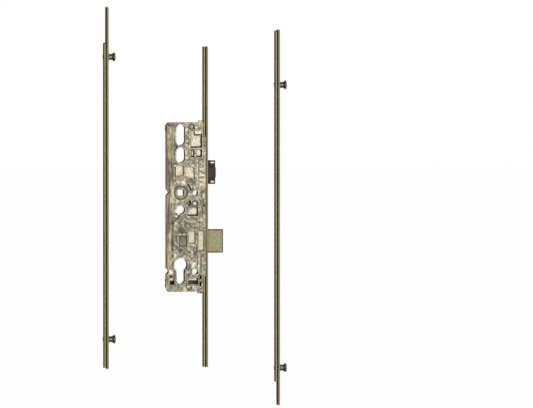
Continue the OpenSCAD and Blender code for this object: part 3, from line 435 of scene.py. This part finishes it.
# %% Colours and places on the casting
# The wall, crease, inside, slot and black colours are painted shade, the recess colours are the recess's
# painted shade, and the glint is a painted highlight on the pocket floors
ZINC_BRIGHT, ZINC_PALE, ZINC_MIDDLE = srgb(238, 230, 203), srgb(188, 181, 160), srgb(148, 142, 122)
ZINC_DARK, ZINC_WALL_SHADE, ZINC_SHADE = srgb(92, 86, 70), srgb(40, 36, 28), srgb(46, 42, 32)
ZINC_GLINT, ZINC_INSIDE_SHADE, ZINC_SLOT_SHADE = srgb(250, 242, 216), srgb(124, 117, 97), srgb(112, 106, 86)
ZINC_DEEP_SHADE, RECESS_DARK, RECESS_LIGHT = srgb(24, 21, 16), srgb(92, 87, 72), srgb(152, 145, 122)
LEAN = (0.55, 0.0, -0.55)

CASE_SIDE = ((-17.2, -126.0), (60.0, 89.4))
SLOTS = ((-9.0, 37.0), (9.0, 89.0))
SHADED_RECESS = ((-3.0, -69.5), (8.6, -53.5))
# The recess's painted shade turns lighter forwards and downwards, from the dark value of this measure to the
# light one
FORWARD_AND_DOWN, SLOPE_DARK, SLOPE_LIGHT = (40.0, 0.0, -60.0), 3.1, 4.3
# Pockets and grooves painted dark as shade, each with its colour
POCKET_SHADES = {
    "crescent under the follower": ((7.0, -18.4), (14.0, -7.0), ZINC_SHADE),
    "hooked groove": ((13.9, 45.0), (18.0, 56.2), ZINC_DEEP_SHADE),
    "wedge groove": ((7.0, 2.4), (15.0, 12.6), ZINC_SHADE)}
# Pads painted with the floors' painted sheen
SHEEN_PADS = {
    "pad beside the cylinder": ((-15.2, -104.2), (-10.4, -98.2)),
    "shelf in the top frame": ((18.0, 73.4), (27.0, 79.6)),
    "front of the long pocket": ((28.0, -73.8), (29.5, -47.9))}
print("dark pockets:", len(POCKET_SHADES), "bright pads:", len(SHEEN_PADS))

# %% [markdown]
# Three tables carry painted light and shade. Each place has a number at its end: broad painted shades make
# a place lighter or darker by that factor, a line of painted shade covers its place by that share, and a
# less shaded place keeps only that share of the painted shade in its corners.

# %% Marks on the casting
# Broad painted light and shade: a factor above 1 lights a place, below 1 shades it
SHADED = {
    "beside the handle slots": ((5.2, 42.0), (11.8, 88.0), 1.55),
    "between window and latch": ((18.2, 13.7), (22.4, 36.7), 0.75),
    "dome over the follower": ((-10.0, 9.0), (16.0, 21.0), 1.2),
    "ledge beside the windows": ((-17.4, 2.0), (-10.0, 38.0), 1.3),
    "rear of the lower ledge": ((-17.6, -92.0), (-13.4, -14.0), 0.8),
    "front of the lower ledge": ((-15.0, -62.0), (-8.6, -27.0), 1.6),
    "round the lower boss": ((-8.0, -47.0), (12.6, -31.0), 0.86)}
# Lines of painted shade beside pockets, windows, the shelf and the hooked groove
SHADE_LINES = {
    "under the shelf": ((17.4, 73.0), (27.2, 75.4), 1.0),
    "hooked groove, back": ((15.4, 45.4), (17.5, 56.0), 1.0),
    "hooked groove, upper arm": ((12.4, 54.5), (17.5, 56.0), 1.0),
    "hooked groove, lower arm": ((12.4, 45.4), (17.5, 46.9), 1.0),
    "front of the front window": ((16.5, 18.2), (17.9, 32.2), 0.6),
    "front of the long pocket": ((30.1, -75.0), (31.9, -47.7), 0.8),
    "rear of the long pocket": ((20.3, -74.0), (21.6, -47.7), 0.6),
    "foot of the long pocket": ((20.3, -75.4), (30.8, -73.8), 0.7),
    "front of the short pocket": ((17.4, -65.3), (18.8, -47.7), 0.6),
    "channel beside the cylinder": ((24.9, -101.4), (26.4, -79.6), 0.6),
    "upper gap beside the foot": ((23.6, -108.1), (27.4, -103.9), 1.0),
    "lower gap beside the foot": ((23.5, -117.1), (26.2, -113.5), 0.8)}
# Places that keep only a share of the painted corner shade
LESS_SHADED_PLACES = {
    "channel beside the latch": ((19.8, 6.0), (23.6, 42.0), 0.3),
    "front flange": ((29.3, -140.0), (60.0, 100.0), 0.15),
    "dull recess": ((-5.0, -72.0), (10.4, -51.0), 0.6),
    "channel beside the cylinder": ((23.4, -104.0), (27.0, -79.6), 0.35),
    "rib beside the cylinder": ((-14.4, -96.0), (-8.6, -78.0), 0.25),
    "tab on top": ((20.0, 89.6), (29.3, 94.0), 0.1),
    "rear of the hooked groove": ((12.0, 45.0), (14.0, 56.0), 0.4)}
print("marks:", len(SHADED) + len(SHADE_LINES) + len(LESS_SHADED_PLACES))

# %% [markdown]
# The casting's own relief picks the paint as well. Its depth runs from the open face at about -8 mm to
# the far side: the floors of the pockets lie behind -6.4 mm, and between -5.3 mm and 6 mm a surface is
# inside the case, gets little light and is painted darker as shade. Each pair of lengths below says where
# a mask starts and where it is full, and each tint multiplies the paint under its mask.

# %% Depths and edges of the casting
LEDGE_EDGE = (-8.6 * MM, -9.4 * MM)
FLANGE_EDGE = (30.5 * MM, 29.5 * MM)
FOOT_TOP = (-116.5 * MM, -118.5 * MM)
FRONT_HALF = (0.0, -1.0 * MM)
LOW_GROUND = (-7.6 * MM, -7.3 * MM)
POCKET_FLOOR = (-6.7 * MM, -6.4 * MM)
INSIDE_FROM, INSIDE_TO = (-5.6 * MM, -5.3 * MM), (6.3 * MM, 6.0 * MM)
# The third tint is painted light that brightens the foot
LEDGE_TINT, GROUND_TINT, FOOT_LIGHT = (0.69, 0.66, 0.58), (0.86, 0.86, 0.86), (1.25, 1.25, 1.28)
BROAD_DARK, BROAD_LIGHT, SHADE_RIM = (0.5, 0.5, 0.52), (1.16, 1.15, 1.1), 2.0
# The first share is how much painted corner shade the open face keeps
FACE_SHADE, OUTER_WALLS = 0.5, 0.62
# The dome's outline over the follower is a painted shade line
DOME_CENTRE, DOME_RADIUS, DOME_LINE = (0.8 * MM, 0.0, 8.1 * MM), 14.7 * MM, 1.1 * MM
DOME_FRONT = ((9.0, 0.5), (16.5, 18.5))
print("pocket floors behind", round(POCKET_FLOOR[1] / MM, 1), "mm")


# %% Paints of the casting
def clouded_face(tree, here, clouds, ledge):
    """Clouds, upward streaks on the ledge, and slow changes over both."""
    streaks = group(tree, FLOW, Vector=stretched(tree, here, along_z=0.06), Scale=330.0, Warp=0.5, Fine=0.25)
    broad = group(tree, FLOW, Vector=here, Scale=42.0, Warp=1.2, Fine=0.1)
    mask = mixed_value(tree, ledge, clouds.outputs["Mask"], streaks.outputs["Mask"])
    face = [(0.0, ZINC_DARK), (0.38, ZINC_MIDDLE), (0.64, ZINC_PALE), (0.92, ZINC_BRIGHT)]
    colour = tinted(tree, ramp(tree, mask, face), LEDGE_TINT, ledge)
    shade = ramp(tree, broad.outputs["Mask"], [(0.1, BROAD_DARK), (0.9, BROAD_LIGHT)])
    return tinted(tree, colour, shade, amount=1.0)


# The pocket floors get a painted sheen: a bright painted reflection in a cloudy grain
def sheen_on_floors(tree, here):
    grain = group(tree, FLOW, Vector=here, Scale=230.0, Warp=2.6, Fine=0.4)
    floor = [(0.0, ZINC_MIDDLE), (0.25, ZINC_PALE), (0.6, ZINC_BRIGHT), (0.9, ZINC_GLINT)]
    return ramp(tree, grain.outputs["Mask"], floor)


def painted_shades(tree, here, place, colour):
    """Broad painted light and shade, and a painted shade line on the outline of the dome over the follower.
    """
    for low, high, factor in SHADED.values():
        shade = box_mask(tree, place, low, high, SHADE_RIM)
        colour = tinted(tree, colour, (factor, factor, factor), shade)
    dome = group(tree, SHADE_RING, Colour=colour, Ring_Colour=rgba(ZINC_SHADE), Vector=here, Centre=DOME_CENTRE,
                 Radius=DOME_RADIUS, Half_Width=DOME_LINE)
    return mixed(tree, box_mask(tree, place, *DOME_FRONT), colour, dome.outputs["Colour"])


def paint_pocket_shade(tree, here, place, deep, colour):
    """The recess in painted shade, lighter towards its lower front corner, and the pockets in painted shade.
    """
    slope = add(tree, "ShaderNodeVectorMath", {"operation": "DOT_PRODUCT"}, in0=here, in1=FORWARD_AND_DOWN)
    sloped = ramp(tree, between(tree, slope.outputs["Value"], SLOPE_DARK, SLOPE_LIGHT),
                  [(0.0, RECESS_DARK), (1.0, RECESS_LIGHT)])
    colour = mixed(tree, times(tree, deep, box_mask(tree, place, *SHADED_RECESS)), colour, sloped)
    for low, high, paint in POCKET_SHADES.values():
        colour = mixed(tree, times(tree, deep, box_mask(tree, place, low, high)), colour, rgba(paint))
    return colour


def pads_and_shade_lines(tree, place, front_half, floor_sheen, colour):
    # Pads get the floors' painted sheen
    for low, high in SHEEN_PADS.values():
        colour = mixed(tree, times(tree, front_half, box_mask(tree, place, low, high)), colour, floor_sheen)
    # Lines of painted shade
    for low, high, share in SHADE_LINES.values():
        line = from_to(tree, box_mask(tree, place, low, high), 0.0, share)
        colour = mixed(tree, times(tree, front_half, line), colour, rgba(ZINC_WALL_SHADE))
    return colour


def corner_shade(tree, place, deep):
    """How much painted shade the corners keep: some on the open face, all of it down in the pockets."""
    corner_share = from_to(tree, deep, FACE_SHADE, 1.0)
    for low, high, left in LESS_SHADED_PLACES.values():
        corner_share = times(tree, corner_share, from_to(tree, box_mask(tree, place, low, high), 1.0, left))
    return corner_share


print("paints of the casting ready")

# %% [markdown]
# One function puts the paints on in this order: the face, the pockets with their painted sheen and shade,
# the painted shade inside, the marks, the painted shade in the corners with the painted highlight on the
# edges, and at last the painted shade on the dull walls.

# %% Cast zinc
def cast_zinc(name, rings):
    """rings are (x, z, radius, half width) of the dark rings round pins, in millimetres."""
    material, tree, shader, here = finish(name, metallic=0.3, roughness=0.5, specular=0.06)
    place = add(tree, "ShaderNodeSeparateXYZ", Vector=here).outputs
    clouds = group(tree, FLOW, Vector=here, Scale=95.0, Warp=2.4, Fine=0.22)
    ledge = between(tree, place["X"], *LEDGE_EDGE)
    front_half = between(tree, place["Y"], *FRONT_HALF)
    deep = times(tree, front_half, between(tree, place["Y"], *POCKET_FLOOR))
    outline = box_mask(tree, place, *CASE_SIDE)
    floor_sheen = sheen_on_floors(tree, here)

    colour = painted_shades(tree, here, place, clouded_face(tree, here, clouds, ledge))
    # The pocket floors take the painted sheen, then the pockets get painted shade
    colour = paint_pocket_shade(tree, here, place, deep, mixed(tree, deep, colour, floor_sheen))
    shut_in = times(tree, between(tree, place["Y"], *INSIDE_FROM), between(tree, place["Y"], *INSIDE_TO))
    # Surfaces shut inside the case get painted shade
    colour = mixed(tree, times(tree, shut_in, outline), colour, rgba(ZINC_INSIDE_SHADE))
    low_ground = times(tree, between(tree, ledge, 1.0, 0.0), between(tree, place["Y"], *LOW_GROUND))
    colour = tinted(tree, colour, GROUND_TINT, low_ground)
    # Painted light brightens the foot
    colour = tinted(tree, colour, FOOT_LIGHT, between(tree, place["Z"], *FOOT_TOP))
    colour = pads_and_shade_lines(tree, place, front_half, floor_sheen, colour)
    # Rings of painted shade round the collar and the pins
    for x, z, radius, half in rings:
        ring = group(tree, SHADE_RING, Colour=colour, Ring_Colour=rgba(ZINC_SHADE), Vector=here,
                     Centre=(x * MM, 0.0, z * MM), Radius=radius * MM, Half_Width=half * MM)
        colour = ring.outputs["Colour"]
    # Painted shade in the corners and a painted highlight on the edges
    corner_shaded = group(tree, CORNER_SHADE_EDGE_LIGHT, Colour=colour, Crease_Colour=rgba(ZINC_SHADE),
                 Edge_Colour=rgba(ZINC_BRIGHT), Crease_Size=0.0028, Edge_Size=0.0008,
                 Crease_Amount=corner_shade(tree, place, deep), Edge_Amount=0.55, Lean=LEAN)

    # Painted shade on the walls, lighter in the slots and outside the case's outline
    wall_shade = mixed(tree, box_mask(tree, place, *SLOTS), rgba(ZINC_WALL_SHADE), rgba(ZINC_SLOT_SHADE))
    behind = times(tree, from_to(tree, outline, OUTER_WALLS, 1.0), between(tree, place["X"], *FLANGE_EDGE))
    walled = group(tree, SIDE_SHADE, Colour=corner_shaded.outputs["Colour"], Side_Colour=wall_shade, Amount=behind)
    fill(shader, {"Base_Color": walled.outputs["Colour"]})
    dull_where(tree, shader, walled.outputs["Side"], metallic=0.3, roughness=0.46)
    roughened(tree, shader, clouds.outputs["Height"], strength=0.5, distance=0.0014)
    return material


print("cast zinc ready")

# %% [markdown]
# The rings round the pins are painted shade. On the casting it falls at the lower right of each pin; on the
# pins' own domes the ring's centre moves to the upper left, so that the shade falls on their lower right
# rims. So the rings stand a little off the pins' centres. The far half of the case has no rings, as the
# photograph doesn't show it.

# %% The three cast finishes
PINS = [(13.5, 84.2), (9.9, -120.6), (17.9, -13.8)]
COLLAR_RING = (0.0, 0.0, 8.7, 1.1)


def rings_at_pins(shift, radius, half_width):
    """A ring at each pin, moved forwards and down by shift, all in millimetres."""
    return [(x + shift, z - shift, radius, half_width) for x, z in PINS]


cast = cast_zinc("cast_zinc", [COLLAR_RING] + rings_at_pins(shift=0.5, radius=3.1, half_width=2.2))
plain_cast = cast_zinc("plain_cast_zinc", [])
domed_cast = cast_zinc("domed_cast_zinc", rings_at_pins(shift=-0.8, radius=3.3, half_width=2.2))
print("cast finishes:", cast.name, plain_cast.name, domed_cast.name)

# %% [markdown]
# ## Bronzed steel
# The faceplates and the rails behind them are olive bronzed strips, seen on their narrow edges. Painted
# shade makes each nearly black behind, where the rolled edge turns away, and a painted highlight makes it
# brightest in the middle. One flat colour would leave them like strips of paper, so a ramp of painted
# shades runs from the strip's rear at 0 to its front at 1. Every strip reads its own rear and front from
# its box in the frame.

# %% Bronzed steel
BRONZE_BACK_SHADE, BRONZE_RAIL, BRONZE_PLATE = srgb(46, 43, 32), srgb(182, 173, 131), srgb(143, 133, 98)
BACKWARDS = (-1.0, 0.0, 0.0)
RAIL_SHADES = [(0.0, 0.06), (0.2, 0.35), (0.36, 1.0), (0.75, 1.0), (0.95, 0.6), (1.0, 0.5)]
PLATE_SHADES = [(0.0, 0.62), (0.25, 0.66), (0.5, 1.0), (0.85, 1.0), (1.0, 0.8)]
BLUE_SHARE = 0.94


def bronzed(node, base, shades):
    """shades are (place, grey) of painted shade and highlight, from the strip's rear at 0 to its front at 1.
    """
    material, tree, shader, here = finish(node + "_bronze", metallic=0.15, roughness=0.5, specular=0.08)
    rear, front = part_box(node)
    place = add(tree, "ShaderNodeSeparateXYZ", Vector=here).outputs
    # Painted shade at the rear of the rolled edge and a painted highlight in its middle
    shade = ramp(tree, between(tree, place["X"], rear.x, front.x),
                 [(at, (grey, grey, BLUE_SHARE * grey)) for at, grey in shades])
    streaks = group(tree, FLOW, Vector=stretched(tree, here, along_z=0.05), Scale=420.0, Warp=0.3, Fine=0.3)
    drawn = ramp(tree, streaks.outputs["Mask"], [(0.0, (0.7, 0.7, 0.68)), (1.0, (1.0, 1.0, 1.0))])
    colour = tinted(tree, tinted(tree, shade, base, amount=1.0), drawn, amount=0.6)
    # The backs are painted shade
    backed = group(tree, SIDE_SHADE, Colour=colour, Side_Colour=rgba(BRONZE_BACK_SHADE), Along=BACKWARDS,
                   Both_Ways=0.0, None_At=0.1, Full_At=0.7, Amount=0.8)
    # Painted shade in the gap between rail and faceplate
    corner_shaded = group(tree, CORNER_SHADE_EDGE_LIGHT, Colour=backed.outputs["Colour"], Crease_Colour=rgba(BRONZE_BACK_SHADE),
                 Edge_Colour=rgba(base), Crease_Size=0.0012, Crease_Amount=0.3, Edge_Size=0.0004,
                 Edge_Amount=0.0)
    fill(shader, {"Base_Color": corner_shaded.outputs["Colour"]})
    dull_where(tree, shader, backed.outputs["Side"], metallic=0.15, roughness=0.5)
    roughened(tree, shader, streaks.outputs["Height"], strength=0.12, distance=0.0004)
    return material


def dress(node, material):
    """Gives a CAD node its finish."""
    NODES[node].data.materials.clear()
    NODES[node].data.materials.append(material)


for node in ("centre_faceplate", "top_faceplate", "bottom_faceplate"):
    dress(node, bronzed(node, BRONZE_PLATE, PLATE_SHADES))
for node in ("top_rail", "bottom_rail", "upper_rail", "lower_rail"):
    dress(node, bronzed(node, BRONZE_RAIL, RAIL_SHADES))
print("strips dressed")

# %% [markdown]
# ## The small pieces
# One helper makes every other metal and the latch's plastic: two shades in a cloudy pattern, painted
# shade in the creases and a painted highlight on the edges. A piece with a look of its own gives the helper
# a function that changes the colour before the creases are drawn.

# %% Two-tone finishes
def darkened(colour, share):
    return rgba(tuple(share * v for v in colour))


def two_tone(name, dark, light, metallic, roughness, scale=220.0, edge=None, extra=None, dark_walls=0.0):
    """extra(tree, here, colour) may change the colour. dark_walls, from 0 to 1, paints shade on the faces
    that don't look through the door."""
    material, tree, shader, here = finish(name, metallic, roughness, specular=0.25 - 0.2 * dark_walls)
    clouds = group(tree, FLOW, Vector=here, Scale=scale, Warp=0.5, Fine=0.5)
    colour = ramp(tree, clouds.outputs["Mask"], [(0.0, dark), (1.0, light)])
    if extra:
        colour = extra(tree, here, colour)
    # Painted shade in the creases, and painted light on the edges in the edge colour
    corner_shaded = group(tree, CORNER_SHADE_EDGE_LIGHT, Colour=colour, Crease_Colour=darkened(dark, share=0.4),
                 Edge_Colour=rgba(edge or light), Crease_Size=0.0016, Crease_Amount=0.8,
                 Edge_Size=0.0004, Edge_Amount=0.7, Lean=LEAN)
    # Painted shade on the walls, by the share dark_walls
    walls = group(tree, SIDE_SHADE, Colour=corner_shaded.outputs["Colour"], Side_Colour=darkened(dark, share=0.3),
                  Amount=dark_walls)
    fill(shader, {"Base_Color": walls.outputs["Colour"]})
    if dark_walls:
        dull_where(tree, shader, walls.outputs["Side"], metallic, roughness)
    roughened(tree, shader, clouds.outputs["Height"], strength=0.2, distance=0.0004)
    return material


print("two-tone helper ready")

# %% [markdown]
# Three pieces need more. The follower has a ring of painted shade where it turns in the case. A mushroom
# bolt is turned steel: a painted highlight runs along a narrow line that faces through the door, with
# painted shade beside it. The deadbolt has painted shade along the edges of its head, and is bright on the
# tail that slides inside the case.

# %% Looks of single pieces
# Painted shade for the follower's ring, beside a turned piece's highlight, and on the deadbolt's edges
JOINT_SHADE, TURNED_SHADE, BOLT_EDGE_SHADE = srgb(18, 15, 12), srgb(44, 40, 34), srgb(48, 44, 28)
TAIL_DARK, TAIL_LIGHT = srgb(176, 166, 138), srgb(240, 230, 202)
BOLT_HEAD_FOOT, BOLT_HEAD_TOP, BEHIND_BOLT = -76.6, -46.7, -40.0
BOLT_EDGE_WIDTH, BOLT_NOSE_WIDTH = 1.3, 1.0
FACEPLATE_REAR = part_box("centre_faceplate")[0].x
TAIL_FADE = 0.4 * MM


# The follower's ring is painted shade
def follower_ring(tree, here, colour):
    return group(tree, SHADE_RING, Colour=colour, Ring_Colour=rgba(JOINT_SHADE), Vector=here, Radius=7.9 * MM,
                 Half_Width=1.6 * MM).outputs["Colour"]


def turned_highlight(tree, here, colour):
    """A painted highlight along a narrow line of a turned piece, with painted shade beside it."""
    return group(tree, SIDE_SHADE, Colour=colour, Side_Colour=rgba(TURNED_SHADE), None_At=0.996,
                 Full_At=0.92).outputs["Colour"]


def bolt_edges_and_tail(tree, here, colour):
    """The thrown head gets painted shade along its edges, and the tail inside the case is bright."""
    place = add(tree, "ShaderNodeSeparateXYZ", Vector=here).outputs
    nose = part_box("deadbolt")[1].x / MM - BOLT_NOSE_WIDTH
    foot, top = BOLT_HEAD_FOOT + BOLT_EDGE_WIDTH, BOLT_HEAD_TOP - BOLT_EDGE_WIDTH
    head = box_mask(tree, place, (BEHIND_BOLT, foot), (nose, top))
    colour = mixed(tree, head, rgba(BOLT_EDGE_SHADE), colour)
    clouds = group(tree, FLOW, Vector=here, Scale=160.0, Warp=1.0, Fine=0.4)
    tail = ramp(tree, clouds.outputs["Mask"], [(0.0, TAIL_DARK), (1.0, TAIL_LIGHT)])
    behind = between(tree, place["X"], FACEPLATE_REAR + TAIL_FADE, FACEPLATE_REAR)
    return mixed(tree, behind, colour, tail)


print("faceplate's rear at", round(FACEPLATE_REAR / MM, 2), "mm")

# %% [markdown]
# Now every small piece gets its finish. The follower is zinc. The springs, the slide, the bolt lever and
# its stump are grey steel, and the lever's pivot and the latch's tail, which shines through the windows
# over the follower, are paler. The latch is dark with brass inserts, and the deadbolt, the washers and
# the screws are bronze.

# %% Dress the small pieces
follower_finish = two_tone("follower_zinc", srgb(128, 116, 96), srgb(176, 164, 138), metallic=0.3,
                           roughness=0.45, extra=follower_ring, dark_walls=0.95)
steel = two_tone("bright_steel", srgb(150, 146, 132), srgb(206, 200, 184), metallic=0.5, roughness=0.38)
pale_steel = two_tone("latch_tail_steel", srgb(160, 147, 114), srgb(255, 246, 216), metallic=0.2,
                      roughness=0.45, scale=110.0)
bright_pin = two_tone("pivot_steel", srgb(190, 182, 158), srgb(238, 230, 206), metallic=0.2, roughness=0.4)
mushroom_steel = two_tone("mushroom_steel", srgb(132, 125, 108), srgb(172, 164, 146), metallic=0.3,
                          roughness=0.45, extra=turned_highlight)
latch_dark = two_tone("latch_body", srgb(26, 16, 9), srgb(48, 34, 24), metallic=0.0, roughness=0.55)
tongue_dark = two_tone("latch_tongue", srgb(42, 39, 32), srgb(56, 53, 45), metallic=0.0, roughness=0.6)
brass = two_tone("latch_brass", srgb(206, 186, 130), srgb(250, 238, 190), metallic=0.3, roughness=0.35,
                 scale=500.0)
bolt_bronze = two_tone("deadbolt_bronze", srgb(112, 106, 70), srgb(172, 166, 126), metallic=0.15,
                       roughness=0.5, scale=420.0, edge=srgb(120, 112, 76), extra=bolt_edges_and_tail)
washer_bronze = two_tone("washer_bronze", srgb(120, 110, 76), srgb(168, 156, 110), metallic=0.4,
                         roughness=0.4)
FINISHES = {
    cast: ["case_front"],
    plain_cast: ["case_back"],
    domed_cast: ["case_rivets"],
    follower_finish: ["follower"],
    bright_pin: ["lever_pivot"],
    steel: ["latch_spring", "follower_spring", "drive_slide", "deadbolt_stump", "bolt_lever"],
    washer_bronze: ["case_screws", "top_rail_washers", "bottom_rail_washers"],
    pale_steel: ["latch_tail"],
    mushroom_steel: ["top_mushroom_upper", "top_mushroom_lower", "bottom_mushroom_upper",
                     "bottom_mushroom_lower"],
    latch_dark: ["latch_block"],
    tongue_dark: ["latch_tongue"],
    brass: ["latch_inserts"],
    bolt_bronze: ["deadbolt"]}
for material, nodes in FINISHES.items():
    for node in nodes:
        dress(node, material)
print("finishes:", len(bpy.data.materials))

# %% [markdown]
# ## Softer edges
# Castings and pressed pieces have no sharp edges. The rounds could be cut into the solids, but that would
# make them heavy to build and to check, and they matter only to the eye. Here a Weld modifier joins the
# faces of a node, and a Bevel modifier rounds its edges off. The mesh under them stays as it is.

# %% Round the edges off
EDGE_WIDTHS = {"case_front": 0.2, "case_back": 0.15, "latch_block": 0.5, "latch_tongue": 0.4,
               "latch_inserts": 0.25, "latch_tail": 0.2, "deadbolt": 0.3, "drive_slide": 0.12,
               "bolt_lever": 0.2}
JOIN_WITHIN = 0.002 * MM
SHARP_FROM = math.radians(40)


def soften(node, width):
    piece = NODES[node]
    piece.modifiers.new("joined", "WELD").merge_threshold = JOIN_WITHIN
    rounded = piece.modifiers.new("rounded", "BEVEL")
    rounded.width = width * MM
    rounded.segments = 2
    rounded.limit_method = "ANGLE"
    rounded.angle_limit = SHARP_FROM
    rounded.use_clamp_overlap = False
    rounded.loop_slide = False


for node, width in EDGE_WIDTHS.items():
    soften(node, width)
print("softened:", len(EDGE_WIDTHS))
